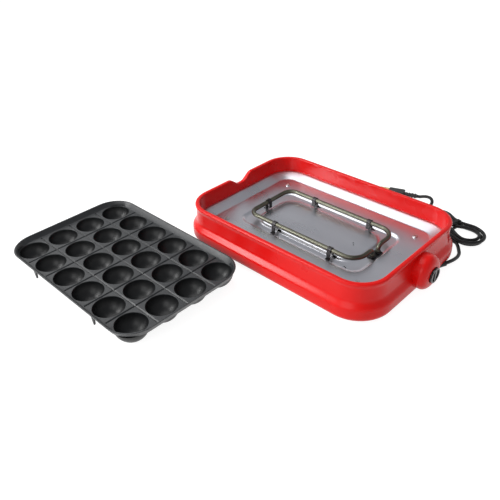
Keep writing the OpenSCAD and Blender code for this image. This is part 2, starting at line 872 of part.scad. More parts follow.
module wire_switched() color("black") {
    y = tail_ys[1];
    square_path([[tail_x + crimp_r, y, wire_z], [switched_x, y, wire_z],
        [switched_x, y, switched_end_z], [thermo_x, y, switched_end_z]],
        [0, wire_bend, wire_bend, 0], wire_r);
}

module wire_neutral() color("gray") {
    y = tail_ys[0];
    square_path([[neutral_x, wire_start_y, clamp_top_z], [neutral_x, wire_start_y, neutral_z],
        [neutral_x, y, neutral_z], [neutral_x, y, wire_z], [fuse_x + fuse_l, y, wire_z]],
        [0, wire_bend, drop_bend, drop_bend, 0], wire_r);
}

// ---------- mains cord ----------

// The cord's sleeve, drawn back from where the cord comes out
module gland_shape(r, l, ahead = 0) {
    translate(exit_at + exit_way * ahead)
        rotate([0, 0, exit_deg])
            rotate([0, -90, 0])
                cylinder(h = l, r = r, $fn = medium);
}

module cord_gland() color("black") {
    gland_shape(gland_r, gland_l);
}

module clamp_frame() {
    translate([clamp_at[0], clamp_at[1], floor_z])
        rotate([0, 0, exit_deg])
            children();
}

module cord_clamp() color("ivory") {
    clamp_frame()
        difference() {
            translate([-clamp_l / 2, -clamp_w / 2, 0])
                cube([clamp_l, clamp_w, clamp_h]);
            for (side = [-1, 1])
                translate([-clamp_l / 2 + 2, side * (clamp_w / 2 - 1.8), clamp_h - 5])
                    cylinder(h = 6, r = clamp_screw_r + screw_fit, $fn = medium);
        }
}

module cord_clamp_screws() color("silver") {
    clamp_frame()
        for (side = [-1, 1])
            translate([-clamp_l / 2 + 2, side * (clamp_w / 2 - 1.8), clamp_h - 4]) {
                cylinder(h = 4, r = clamp_screw_r, $fn = medium);
                translate([0, 0, 4])
                    cylinder(h = 1, r = clamp_screw_r + 0.6, $fn = medium);
            }
}

module cord_free() color("black") {
    swept_tube(cord_route, cord_r, 10);
}

module cord_tail() color("black") {
    swept_tube(tail_route, cord_r, 10);
}

// End-turn radius of the hank after so many loops
function hank_radius(loop) =
    hank_in_r + hank_step * max(abs(loop - hank_mid) - hank_climb, 0);

function hank_height(loop) =
    hank_low_z + hank_layer * min(1, max(0, (loop - hank_mid + hank_climb) / (2 * hank_climb)));

// Distance of a run from the middle line, at a distance u from the tie; r is its end-turn radius
function drawn_in(u, r) =
    let (inside = (hank_radius(0) - r) / (hank_radius(0) - hank_in_r),
        draw = hank_draw_out + (hank_draw_in - hank_draw_out) * max(0, inside))
    r - draw * pow(cos(90 * u / hank_half), 2);

function run_point(u, r, side) = [u, side * drawn_in(u, r)];

function hank_plan(share, r) =
    share < hank_run ? run_point(hank_half * (1 - 2 * share / hank_run), r, -1) :
    share < 0.5 ? let (a = 180 * (share - hank_run) / (0.5 - hank_run))
        [-hank_half - r * sin(a), -r * cos(a)] :
    share < 0.5 + hank_run ? run_point(hank_half * (2 * (share - 0.5) / hank_run - 1), r, 1) :
    let (a = 180 * (share - 0.5 - hank_run) / (0.5 - hank_run))
        [hank_half + r * sin(a), r * cos(a)];

function hank_point(loop) =
    let (turn = loop + hank_first, plan = hank_plan(turn - floor(turn), hank_radius(loop)),
        c = cos(hank_tilt), s = sin(hank_tilt))
    [hank_at[0] + plan[0] * c - plan[1] * s, hank_at[1] + plan[0] * s + plan[1] * c,
        hank_height(loop)];

hank_start = cord_route[len(cord_route) - 1];
hank_start_way = unit(hank_start - cord_route[len(cord_route) - 2]);
hank_end = tail_route[0];
hank_end_way = unit(tail_route[1] - hank_end);
hank_path = concat(
    [hank_start, hank_start + hank_start_way * cord_r],
    [for (i = [1 : floor(hank_loops * hank_rings - 0.5)]) hank_point(i / hank_rings)],
    [hank_end - hank_end_way * cord_r, hank_end]);

// Least gap of the hank to itself, measured between points at least a third of a loop apart
hank_apart = ceil(hank_rings / 3);
hank_gap = min([for (i = [0 : len(hank_path) - 1], j = [i + hank_apart : 1 : len(hank_path) - 1])
    each [for (s = [0 : 0.25 : 0.75])
        norm(hank_path[i] - (hank_path[j] * (1 - s) + hank_path[min(j + 1, len(hank_path) - 1)] * s))]])
    - cord_d;
echo(hank_least_gap = hank_gap);

module cord_hank() color("black") {
    swept_tube(hank_path, cord_r, hank_sides);
}

module hank_tie() color("black") {
    pass = hank_run / 2 - hank_first;
    reach = cord_r + tie_fit;
    front = drawn_in(tie_w / 2, hank_radius(pass)) + reach;
    back = drawn_in(tie_w / 2, hank_radius(pass + 0.5)) + reach;
    low = hank_low_z - reach;
    high = hank_low_z + hank_layer + reach;
    translate([hank_at[0], hank_at[1], (low + high) / 2])
        rotate([0, 0, hank_tilt])
            translate([-tie_w / 2, (back - front) / 2, 0])
                rotate([90, 0, 90])
                    linear_extrude(tie_w)
                        difference() {
                            round_rect(front + back + 2 * tie_t, high - low + 2 * tie_t,
                                reach + tie_t);
                            round_rect(front + back, high - low, reach);
                        }
}

module plug_frame() {
    translate([plug_at[0], plug_at[1], plug_at[2]])
        rotate([0, plug_dip, plug_deg])
            children();
}

module plug_relief() color("black") {
    ribs = 4;
    rib_step = relief_l / (ribs + 0.5);
    plug_frame()
        rotate([0, 90, 0]) {
            cylinder(h = relief_l, r1 = relief_r - 1, r2 = relief_r - 0.6, $fn = medium);
            for (i = [0 : ribs - 1])
                translate([0, 0, rib_step * (i + 0.5)])
                    cylinder(h = rib_step * 0.55, r = relief_r, $fn = medium);
        }
}

module plug_body() color("black") {
    neck_w = 12;
    plug_frame()
        translate([relief_l, 0, 0])
            intersection() {
                translate([0, 0, -plug_h / 2])
                    linear_extrude(plug_h)
                        polygon([[0, -neck_w / 2], [plug_l * 0.35, -plug_w / 2], [plug_l, -plug_w / 2],
                            [plug_l, plug_w / 2], [plug_l * 0.35, plug_w / 2], [0, neck_w / 2]]);
                rotate([0, 90, 0])
                    linear_extrude(plug_l)
                        round_rect(plug_h, plug_w, 4);
            }
}

module plug_blades() color("gold") {
    plug_frame()
        for (side = [-1, 1])
            translate([relief_l + plug_l, side * blade_gap / 2 - blade_t / 2, -blade_w / 2])
                difference() {
                    cube([blade_l, blade_t, blade_w]);
                    translate([blade_l - 5, -1, blade_w / 2])
                        rotate([-90, 0, 0])
                            cylinder(h = blade_t + 2, r = 1.5, $fn = medium);
                }
}

// ---------- knob ----------

module knob() color([0.12, 0.1, 0.1]) {
    difference() {
        on_knob_axis(knob_x)
            union() {
                difference() {
                    cylinder(h = knob_t, r = knob_r, $fn = fine);
                    translate([0, 0, knob_t - dish_d])
                        cylinder(h = dish_d + 1, r = dish_r, $fn = fine);
                }
                translate([-dish_r, -grip_w / 2, knob_t - dish_d - eps])
                    cube([2 * dish_r, grip_w, dish_d - 0.2]);
            }
        on_knob_axis(knob_x - 1)
            cylinder(h = spindle_end_x - knob_x + 1, r = spindle_r, $fn = medium);
    }
}

module knob_spindle() color("silver") {
    on_knob_axis(spindle_back_x)
        cylinder(h = spindle_end_x - spindle_back_x, r = spindle_r, $fn = medium);
}

// ---------- plate ----------

// The plate is drawn about its own centre, with the top of its deck at z = 0
module on_table() {
    translate([plate_x, plate_y, plate_z])
        children();
}

module v_groove(l, turn) {
    rotate([0, 0, turn])
        rotate([90, 0, 90])
            translate([0, 0, -l / 2])
                linear_extrude(l)
                    polygon([[-groove_w / 2, 0], [-groove_w / 2, 1], [groove_w / 2, 1],
                        [groove_w / 2, 0], [0, -groove_d]]);
}

module plate_rim_section() {
    lean = flare / (plate_rim_h + deck_t);
    foot_u = -flare + lean * deck_t - plate_rim_t;
    polygon([[-flare, -deck_t], [0, plate_rim_h], [-plate_rim_t, plate_rim_h], [foot_u, 0],
        [foot_u, -deck_t]]);
}

module plate_tab() {
    tip = 0.8;
    rotate([90, 0, 0])
        translate([0, 0, -tab_t / 2])
            linear_extrude(tab_t)
                polygon([[-tab_w / 2, -deck_t / 2], [-tip, -tab_h], [tip, -tab_h],
                    [tab_w / 2, -deck_t / 2]]);
}

module plate_deck() color([0.13, 0.13, 0.14]) {
    on_table() {
        difference() {
            union() {
                translate([0, 0, -deck_t])
                    linear_extrude(deck_t)
                        round_rect(deck_l, deck_w, plate_r - flare);
                round_sweep(plate_l, plate_w, plate_r) plate_rim_section();
                for (sx = [-1, 1], sy = [-1, 1])
                    translate([sx * tab_gap / 2, sy * tab_y, 0])
                        plate_tab();
            }
            for (x = cup_xs, y = cup_ys)
                translate([x, y, 0]) {
                    sphere(r = cup_r, $fn = fine);
                    translate([0, 0, -cup_lip])
                        cylinder(h = cup_lip + eps, r1 = cup_r - cup_lip, r2 = cup_r + cup_lip * 0.6,
                            $fn = fine);
                }
            for (x = groove_xs)
                translate([x, 0, 0])
                    v_groove(deck_w - 2 * groove_w, 90);
            for (y = groove_ys)
                translate([0, y, 0])
                    v_groove(deck_l - 2 * groove_w, 0);
        }
    }
}

module cup_shell() {
    intersection() {
        difference() {
            sphere(r = cup_out_r, $fn = fine);
            sphere(r = cup_r, $fn = fine);
        }
        translate([-cup_out_r - 1, -cup_out_r - 1, -cup_flat_z])
            cube([2 * cup_out_r + 2, 2 * cup_out_r + 2, cup_flat_z - deck_t]);
    }
}

module plate_cups() color([0.1, 0.1, 0.11]) {
    on_table()
        for (x = cup_xs, y = cup_ys)
            translate([x, y, 0])
                cup_shell();
}

casing();
base_cover();
feet();
base_screws();
tray();
tray_screws();
heater_tube();
heater_clips();
terminal_bracket();
terminal_insulators();
terminal_pins();
crimp_terminals();
heat_shield();
thermostat_case();
thermostat_bush();
thermostat_bracket();
thermal_fuse();
wire_live();
wire_switched();
wire_neutral();
cord_clamp();
cord_clamp_screws();
cord_gland();
cord_free();
cord_hank();
cord_tail();
hank_tie();
plug_body();
plug_relief();
plug_blades();
knob();
knob_spindle();
plate_deck();
plate_cups();
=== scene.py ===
"""Looks of an electric takoyaki maker: its casing, tray, plate and mains cord as smooth meshes, its
finishes, and the studio."""

import json
import math

import bmesh
import bpy
from mathutils import Matrix, Vector


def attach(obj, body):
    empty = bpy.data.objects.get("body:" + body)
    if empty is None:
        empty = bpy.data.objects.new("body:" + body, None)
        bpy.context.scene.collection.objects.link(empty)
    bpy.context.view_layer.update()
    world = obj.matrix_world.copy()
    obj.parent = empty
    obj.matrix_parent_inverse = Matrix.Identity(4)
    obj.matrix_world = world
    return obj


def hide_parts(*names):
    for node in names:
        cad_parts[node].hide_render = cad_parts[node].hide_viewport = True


MM = 0.001

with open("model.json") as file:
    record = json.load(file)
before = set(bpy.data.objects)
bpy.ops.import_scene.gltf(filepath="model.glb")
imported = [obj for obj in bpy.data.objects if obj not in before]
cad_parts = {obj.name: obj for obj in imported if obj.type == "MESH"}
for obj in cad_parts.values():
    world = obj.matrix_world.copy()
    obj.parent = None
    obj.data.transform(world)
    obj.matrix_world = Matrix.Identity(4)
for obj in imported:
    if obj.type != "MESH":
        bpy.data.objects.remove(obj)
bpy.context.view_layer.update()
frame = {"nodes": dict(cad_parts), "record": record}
nodes = frame["nodes"]


# ---------- camera ----------

AZIMUTH, ELEVATION, ROLL = math.radians(45.075), math.radians(34.536), math.radians(-2.087)
FOCAL_PX, PICTURE_PX, SENSOR_MM = 556.73, 500, 36
CAMERA_AT = (413.78, -553.71, 461.89)

view_dir = Vector((
    -math.sin(AZIMUTH) * math.cos(ELEVATION),
    math.cos(AZIMUTH) * math.cos(ELEVATION),
    -math.sin(ELEVATION),
))
level_right = Vector((math.cos(AZIMUTH), math.sin(AZIMUTH), 0))
level_up = level_right.cross(view_dir)
right = level_right * math.cos(ROLL) + level_up * math.sin(ROLL)
up = level_up * math.cos(ROLL) - level_right * math.sin(ROLL)

camera_data = bpy.data.cameras.new("camera")
camera_data.sensor_width = SENSOR_MM
camera_data.lens = FOCAL_PX / PICTURE_PX * SENSOR_MM
camera_data.clip_start = 0.01
camera = bpy.data.objects.new("camera", camera_data)
camera.matrix_world = Matrix.Translation(Vector(CAMERA_AT) * MM) @ Matrix(
    (right, up, -view_dir)).transposed().to_4x4()
bpy.context.collection.objects.link(camera)
bpy.context.scene.camera = camera


# ---------- helpers for meshes ----------

def link(name, mesh):
    """A new object in the scene from a mesh."""
    piece = bpy.data.objects.new(name, mesh)
    bpy.context.collection.objects.link(piece)
    return piece


def crease(bm, angle=38):
    """Smooth faces with a sharp edge wherever they meet at more than an angle."""
    for face in bm.faces:
        face.smooth = True
    for edge in bm.edges:
        edge.smooth = edge.calc_face_angle(0) < math.radians(angle)


def mesh_from(name, bm):
    """Ends a bmesh as a mesh with outward faces and creased edges."""
    bmesh.ops.recalc_face_normals(bm, faces=bm.faces)
    crease(bm)
    mesh = bpy.data.meshes.new(name)
    bm.to_mesh(mesh)
    bm.free()
    return mesh


def full_turn(steps):
    """Angles round a circle."""
    return [2 * math.pi * k / steps for k in range(steps)]


def ring(half_l, half_w, radius, z=0.0, corner=12, left=48, right=16, long=6):
    """Points in millimetres round a rounded rectangle, counter-clockwise from its right side."""
    points = []
    for k, (sx, sy) in enumerate(((1, 1), (-1, 1), (-1, -1), (1, -1))):
        for s in range(corner + 1):
            a = math.radians(90 * (k + s / corner))
            points.append((sx * (half_l - radius) + radius * math.cos(a),
                           sy * (half_w - radius) + radius * math.sin(a), z))
        ax, ay, _ = points[-1]
        nx, ny = ((-1, 1), (-1, -1), (1, -1), (1, 1))[k]
        bx = nx * (half_l - radius) if k % 2 == 0 else nx * half_l
        by = ny * half_w if k % 2 == 0 else ny * (half_w - radius)
        steps = (long, left, long, right)[k]
        points += [(ax + (bx - ax) * t / steps, ay + (by - ay) * t / steps, z) for t in range(1, steps)]
    return points


def loft(bm, rings, closed=False, caps=False):
    """Joins rings of equal length, in millimetres, with quads."""
    verts = [[bm.verts.new(Vector(p) * MM) for p in points] for points in rings]
    count = len(rings[0])
    for a, b in list(zip(verts, verts[1:])) + ([(verts[-1], verts[0])] if closed else []):
        for i in range(count):
            bm.faces.new((a[i], a[(i + 1) % count], b[(i + 1) % count], b[i]))
    if caps:
        bm.faces.new(verts[0][::-1])
        bm.faces.new(verts[-1])


def eased(line, cut, steps=4):
    """Rounds the inner corners of an open line of equal tuples whose last two entries are across and up."""
    out = [Vector(line[0])]
    for a, b, c in zip(line, line[1:], line[2:]):
        a, b, c = Vector(a), Vector(b), Vector(c)
        before = min(0.45, cut / math.dist(a[-2:], b[-2:]))
        after = min(0.45, cut / math.dist(b[-2:], c[-2:]))
        start, end = b.lerp(a, before), b.lerp(c, after)
        out += [start.lerp(b, k / steps).lerp(b.lerp(end, k / steps), k / steps) for k in range(steps + 1)]
    return [tuple(p) for p in out + [Vector(line[-1])]]


def revolve(bm, at, profile, steps=96):
    """Turns a closed profile of (x, radius) about an axis along X through a point, in millimetres."""
    loft(bm, [[(x, at[1] + r * math.cos(a), at[2] + r * math.sin(a)) for a in full_turn(steps)]
              for x, r in profile], closed=True)


def sweep(bm, line, radius, sides=16):
    """A round tube along a line of points in metres, closed at both ends."""
    side = Vector((0, 0, 1)).cross(line[1] - line[0]).normalized()
    rings = []
    for i, place in enumerate(line):
        along = (line[min(i + 1, len(line) - 1)] - line[max(i - 1, 0)]).normalized()
        side = (side - along * side.dot(along)).normalized()
        over = along.cross(side)
        rings.append([(place + radius * (math.cos(a) * side + math.sin(a) * over)) / MM
                      for a in full_turn(sides)])
    loft(bm, rings, caps=True)


def carve(piece, cutters):
    """Cuts the cutters out of a piece and removes them."""
    for cutter in cutters:
        cut = piece.modifiers.new("cut", "BOOLEAN")
        cut.operation, cut.solver, cut.object = "DIFFERENCE", "EXACT", cutter
    bpy.context.view_layer.update()
    whole = bpy.data.meshes.new_from_object(piece.evaluated_get(bpy.context.evaluated_depsgraph_get()))
    piece.modifiers.clear()
    bm = bmesh.new()
    bm.from_mesh(whole)
    crease(bm)
    bm.to_mesh(whole)
    bm.free()
    piece.data = whole
    for cutter in cutters:
        bpy.data.objects.remove(cutter)


def spline(points, steps=6):
    """A smooth line through points (Catmull-Rom)."""
    pts = [Vector(p) for p in points]
    pts = [pts[0] * 2 - pts[1]] + pts + [pts[-1] * 2 - pts[-2]]
    out = []
    for p0, p1, p2, p3 in zip(pts, pts[1:], pts[2:], pts[3:]):
        for s in range(steps):
            t = s / steps
            out.append(0.5 * (2 * p1 + (p2 - p0) * t + (2 * p0 - 5 * p1 + 4 * p2 - p3) * t ** 2
                              + (3 * p1 - p0 - 3 * p2 + p3) * t ** 3))
    return out + [pts[-2]]


def smoothstep(x):
    x = min(1, max(0, x))
    return x * x * (3 - 2 * x)


# ---------- mains cord ----------

CORD_R = 2.5
CORD_ROUTE = [(169.2, 65, 8.5), (171.2, 70, 8.4), (172.7, 78, 7.6), (173.3, 87, 6.4),
              (172.6, 96, 5.1), (170, 105.3, 3.9), (166.3, 112.2, 3.1), (162.6, 118.3, 2.7),
              (159.8, 122.4, 2.6), (156.7, 125.8, 3), (154.2, 127.8, 3.5), (149.3, 129.2, 3.6)]
TAIL_ROUTE = [(75.9, 180, 9.1), (77.7, 186, 9.7), (77.6, 192.3, 11), (75.6, 198.2, 12.2),
              (71.8, 203.2, 12.9), (66.7, 206.8, 12.7), (60.7, 208.6, 11.6), (54.4, 208.5, 9.8),
              (49.8, 207.5, 8.2), (45.4, 206.4, 7.7)]
HANK_AT, HANK_TILT = (129.4, 160.8), math.radians(-14)
HANK_HALF, HANK_FREE, HANK_IN_R, HANK_STEP, DRAW_OUT, DRAW_IN = 30, 22, 15.2, 7.2, 4.6, 11
HANK_LOW_Z, HANK_LAYER, HANK_CLIMB, HANK_RUN = 3.6, 5.5, 0.1, 0.224
# where the last bend ends, the length over which a loop sags, and the loops before the end that don't
HANK_END_DEG, SAG_LENGTH, SAG_LOOPS = 102, 14, 0.35
HANK_FIRST = HANK_RUN * (HANK_HALF - HANK_FREE) / (2 * HANK_HALF)
HANK_MID = 1.5 + HANK_RUN / 2 - HANK_FIRST
HANK_LOOPS = 3 + HANK_RUN + (0.5 - HANK_RUN) * HANK_END_DEG / 180 - HANK_FIRST


def hank_radius(loop):
    return HANK_IN_R + HANK_STEP * max(abs(loop - HANK_MID) - HANK_CLIMB, 0)


def hank_plan(loop):
    """Place along and across the hank after so many loops."""
    turn = loop + HANK_FIRST
    share, r = turn - math.floor(turn), hank_radius(loop)
    side = -1 if share < 0.5 else 1
    share = share % 0.5
    if share < HANK_RUN:
        u = HANK_HALF * (1 - 2 * share / HANK_RUN)
        inside = max(0, (hank_radius(0) - r) / (hank_radius(0) - HANK_IN_R))
        draw = DRAW_OUT + (DRAW_IN - DRAW_OUT) * inside
        return -side * u, side * (r - draw * math.cos(math.radians(90 * u / HANK_HALF)) ** 2)
    a = math.pi * (share - HANK_RUN) / (0.5 - HANK_RUN)
    return side * (HANK_HALF + r * math.sin(a)), side * r * math.cos(a)


def hank_point(loop):
    u, v = hank_plan(loop)
    c, s = math.cos(HANK_TILT), math.sin(HANK_TILT)
    rise = min(1, max(0, (loop - HANK_MID + HANK_CLIMB) / (2 * HANK_CLIMB)))
    # away from the tie the loops sag until they rest on the table
    sag = smoothstep((abs(u) - HANK_FREE) / SAG_LENGTH) * smoothstep((HANK_LOOPS - loop) / SAG_LOOPS)
    return (HANK_AT[0] + u * c - v * s, HANK_AT[1] + u * s + v * c,
            HANK_LOW_Z + HANK_LAYER * smoothstep(rise) - sag)


HANK_RINGS = 72
hank_line = [hank_point(i / HANK_RINGS) for i in range(2, int(HANK_LOOPS * HANK_RINGS) - 1)]
cord_line = [Vector(p) * MM for p in spline(CORD_ROUTE) + hank_line + spline(TAIL_ROUTE)]

bm = bmesh.new()
sweep(bm, cord_line, CORD_R * MM)
mains_cord = link("mains_cord", mesh_from("mains_cord", bm))

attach(mains_cord, "cooker")
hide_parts("cord_free", "cord_hank", "cord_tail")


# ---------- casing ----------

CASING_H, WALL, RIM_T, WAIST_IN, BULGE_OUT, FOOT_H, BOTTOM_R = 58, 2.2, 6.5, 1.3, 6.3, 3, 9
RIM = (162.5, 115, 44)
WAIST_Z, BULGE_Z, SHOULDER_Z, SHOULDER_H, SHOULDER_SHARE = 50, 12, 27, 11, 0.7
SEAT_Z, LIP_T, LIP_W, EDGE_R = 33, 2, 2.5, 1.5
NOTCH_Y, NOTCH_W, NOTCH_D, NOTCH_FROM_Z = 1.5, 50, 11.6, 35
BOSS_AT, BOSS_R, BOSS_ROUND = (181.5, 5, 28.5), 24, 10
KNOB_HOLE_R, KNOB_SEAT, SPINDLE_HOLE_R, ROOT_X = 11.1, 2.5, 3.6, 159.6


def cosine_step(s):
    return (1 - math.cos(math.pi * min(1, max(0, s)))) / 2


def skin_u(z):
    """How far the outer wall stands out from the rim at a height."""
    swell = ((1 - SHOULDER_SHARE) * cosine_step((WAIST_Z - z) / (WAIST_Z - BULGE_Z))
             + SHOULDER_SHARE * cosine_step((SHOULDER_Z - z) / SHOULDER_H + 0.5))
    return (BULGE_OUT + WAIST_IN) * swell - WAIST_IN


def arc(u, z, r, start, end, steps):
    """Points (u, z) on an arc, its angles in degrees."""
    angles = [math.radians(start + (end - start) * k / steps) for k in range(steps + 1)]
    return [(u + r * math.cos(a), z + r * math.sin(a)) for a in angles]


def wall_line(inset):
    """The casing's wall from under the rim to the bottom, set in by a thickness."""
    top = CASING_H - WALL
    neck = [(WAIST_IN * (math.cos(math.pi * k / 8) - 1) / 2 - inset, top - (top - WAIST_Z) * k / 8)
            for k in range(9)]
    heights = [WAIST_Z - (WAIST_Z - BULGE_Z) * k / 40 for k in range(1, 40)]
    bottom = arc(BULGE_OUT - BOTTOM_R, BULGE_Z, BOTTOM_R - inset, 0, -90, 10)
    return neck + [(skin_u(z) - inset, z) for z in heights] + bottom


def casing_section():
    """The wall's closed outline, as (out from the rim, height)."""
    edge = arc(EDGE_R - RIM_T, CASING_H - EDGE_R, EDGE_R, 180, 90, 5)
    rim = arc(-WALL, CASING_H - WALL, WALL, 90, 0, 7)[:-1]
    lining = [(WALL - RIM_T, CASING_H - WALL), (WALL - RIM_T, SEAT_Z - LIP_T),
              (-RIM_T - LIP_W, SEAT_Z - LIP_T), (-RIM_T - LIP_W, SEAT_Z),
              (-RIM_T, SEAT_Z), (-RIM_T, 38), (-RIM_T, 44), (-RIM_T, 50)]
    return edge + rim + wall_line(0) + wall_line(WALL)[::-1] + lining


def notched(x, y, z):
    """Lowers the left side's rim into the finger notch."""
    if x > -120 or z < NOTCH_FROM_Z:
        return x, y, z
    share = min(1, max(0, abs(y - NOTCH_Y) / (NOTCH_W / 2) - 0.12) / 0.88)
    dip = NOTCH_D * (1 + math.cos(math.pi * share)) / 2
    return x, y, z - dip * (z - NOTCH_FROM_Z) / (CASING_H - NOTCH_FROM_Z)


def make_casing():
    """The shell with its rim, notch and the knob's housing, whose end has a pocket for the knob."""
    bm = bmesh.new()
    loft(bm, [[notched(*p) for p in ring(RIM[0] + u, RIM[1] + u, RIM[2] + u, z)]
              for u, z in casing_section()], closed=True)
    end, flat_r = BOSS_AT[0], BOSS_R - BOSS_ROUND - 2
    turn = [math.radians(90 * k / 12) for k in range(13)]
    crown = [(end - BOSS_ROUND + BOSS_ROUND * math.sin(a), flat_r + (BOSS_R - flat_r) * math.cos(a))
             for a in turn]
    pocket = [(end, KNOB_HOLE_R), (end - KNOB_SEAT, KNOB_HOLE_R), (end - KNOB_SEAT, SPINDLE_HOLE_R),
              (end - KNOB_SEAT - WALL, SPINDLE_HOLE_R)]
    inner = [(end - KNOB_SEAT - WALL, BOSS_R - WALL - 6), (end - KNOB_SEAT - WALL - 6, BOSS_R - WALL),
             (ROOT_X, BOSS_R - WALL)]
    revolve(bm, BOSS_AT, [(ROOT_X, BOSS_R), (ROOT_X + 6, BOSS_R)] + crown + pocket + inner)
    casing = link("casing_shell", mesh_from("casing_shell", bm))
    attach(casing, "cooker")
    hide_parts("casing")
    return casing


# ---------- tray ----------

FLANGE_Z, LEDGE_Z, CHANNEL_Z, TRAY_T, PRESS_ROUND = 34, 27, 24, 1, 1.6
SLOT_OFF, SLOT_L, SLOT_W, SLOT_CUT = 4.5, 6, 3, 12
PIN_HOLE_R, TAIL_HOLE_R, SCREW_HOLE_R = 1.1, 3.55, 1.9
CLIPS = ((-42, -46.2, 1, 1), (57, -46.2, 1, 1), (-42, 46.2, 1, 1), (57, 46.2, 1, 1), (-93, -4, -1, 1))
PIN_HOLES = ((62, 0.2), (65.3, -3.8), (83, -49.5), (86, -51))
TAIL_HOLES = ((98.5, -8), (98.5, 5))
SCREW_AT = (117.5, 70.2)


def block(name, center, size):
    """A box to cut with, in millimetres."""
    bm = bmesh.new()
    place = Matrix.LocRotScale(Vector(center) * MM, None, Vector(size) * MM)
    bmesh.ops.create_cube(bm, size=1, matrix=place)
    return link(name, mesh_from(name, bm))


def drill(name, x, y, r):
    """An upright cylinder to cut a hole with, in millimetres."""
    bm = bmesh.new()
    bmesh.ops.create_cone(bm, cap_ends=True, segments=32, radius1=r * MM, radius2=r * MM, depth=20 * MM,
                          matrix=Matrix.Translation(Vector((x, y, 26)) * MM))
    return link(name, mesh_from(name, bm))


def make_tray():
    """One pressed sheet: flange, sloping border, ledge, channel under the tube and raised middle."""
    flange, inner, ledge = -RIM_T - 0.3, -RIM_T - 2.8, -RIM_T - 18.8
    # each place on the sheet: half its length and width, its corner's radius, across and up
    line = [(RIM[0] + u, RIM[1] + u, RIM[2] + u, -u, z) for u, z in
            ((flange, FLANGE_Z), (inner, FLANGE_Z), (ledge, LEDGE_Z))]
    line += [(107.5, 58, 18, RIM[1] - 58, LEDGE_Z), (103.5, 54, 14, RIM[1] - 54, CHANNEL_Z),
             (90, 44.5, 28, RIM[1] - 44.5, CHANNEL_Z), (86, 40.5, 24, RIM[1] - 40.5, LEDGE_Z),
             (60, 14.5, 8, RIM[1] - 14.5, LEDGE_Z)]
    line = eased(line, PRESS_ROUND)
    bm = bmesh.new()
    loft(bm, [ring(a, b, r, up, left=6, right=6) for a, b, r, _, up in line])
    bm.faces.new(list(bm.verts)[-len(ring(1, 1, 1, left=6, right=6)):])
    tray = link("tray_sheet", mesh_from("tray_sheet", bm))
    sheet = tray.modifiers.new("sheet", "SOLIDIFY")
    sheet.thickness, sheet.offset = TRAY_T * MM, -1
    cutters = [block("slot", (x + sx * SLOT_OFF, y + sy * SLOT_OFF, 26),
                     (SLOT_L, SLOT_W, SLOT_CUT) if sx > 0 else (SLOT_W, SLOT_L, SLOT_CUT))
               for x, y, sx, sy in CLIPS]
    cutters += [drill("hole", x, y, PIN_HOLE_R) for x, y in PIN_HOLES]
    cutters += [drill("hole", x, y, TAIL_HOLE_R) for x, y in TAIL_HOLES]
    cutters += [drill("hole", sx * SCREW_AT[0], sy * SCREW_AT[1], SCREW_HOLE_R)
                for sx in (-1, 1) for sy in (-1, 1)]
    carve(tray, cutters)
    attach(tray, "cooker")
    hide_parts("tray")
    return tray


# ---------- plate ----------

PLATE_AT = (-153.5, -236.3, 21.94)
DECK_HALF, DECK_R, DECK_T = (140.5, 93), 33, 3
FLARE, PLATE_RIM_H, PLATE_RIM_T = 5, 7, 2.4
CUP_PITCH, CUP_R, CUP_OUT_R, CUP_FLAT_R, LIP = 46.2, 20.5, 22.3, 4, 0.8
MOUTH_ROUND, CUP_SIDES = 0.45, 96
GROOVE_W, GROOVE_D = 3, 1.2
TAB_HALF, TAB_TIP, TAB_H, TAB_T, TAB_X, TAB_Y = 3, 0.8, 13, 2.2, 70, 92.8
TAB_TOP_Z = -1.5
CUP_PLACES = [((i - 2.5) * CUP_PITCH, (j - 1.5) * CUP_PITCH) for i in range(6) for j in range(4)]


def cup_profile():
    """A cup's line from its lip down inside, then its outside up to the deck, as (radius, height)."""
    inner_end = math.degrees(math.acos(CUP_FLAT_R / CUP_R))
    outer_end = math.degrees(math.acos(CUP_FLAT_R / CUP_OUT_R))
    start = math.degrees(math.asin(LIP / CUP_R))
    inside = arc(0, 0, CUP_R, -start, -inner_end, 20)
    floor_z = inside[-1][1]
    outside = arc(0, 0, CUP_OUT_R, -outer_end, -math.degrees(math.asin(2.6 / CUP_OUT_R)), 20)
    mouth = [(CUP_R + MOUTH_ROUND, 0.0), (CUP_R + 0.3, -0.12), (CUP_R + 0.08, -0.4)]
    return mouth + inside + [(0.02, floor_z - 0.35), (0.02, outside[0][1])] + outside


